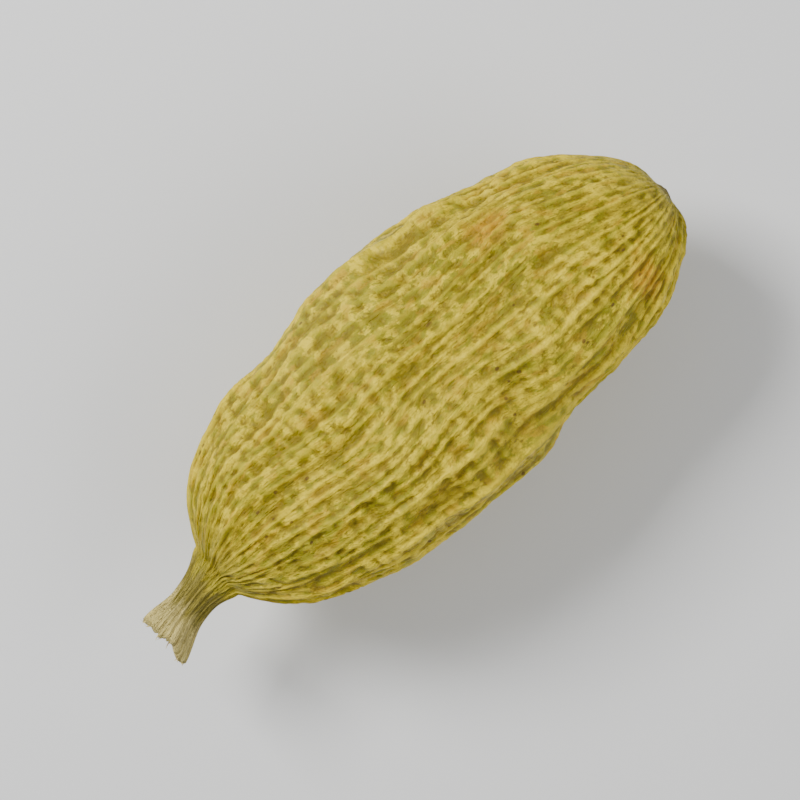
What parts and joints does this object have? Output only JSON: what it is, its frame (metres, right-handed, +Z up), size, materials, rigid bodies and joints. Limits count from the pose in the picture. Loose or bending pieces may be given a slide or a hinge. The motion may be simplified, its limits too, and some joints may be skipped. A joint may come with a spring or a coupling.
{
  "type": "cardamom pod",
  "caption": "Dried green cardamom pod lying on its side: a ribbed, three-cornered papery husk with a short hollow stalk stub and a puckered free end.",
  "frame": {"origin": "on the surface the pod rests on, under the middle of its box", "axes": "+X along the pod from the stalk stub to the free end, +Z up through the broad upper face"},
  "size_m": [0.0148, 0.006, 0.0055],
  "materials": {
    "husk": "matte"
  },
  "bodies": {
    "root": {"pod": "husk"}
  },
  "joints": []
}
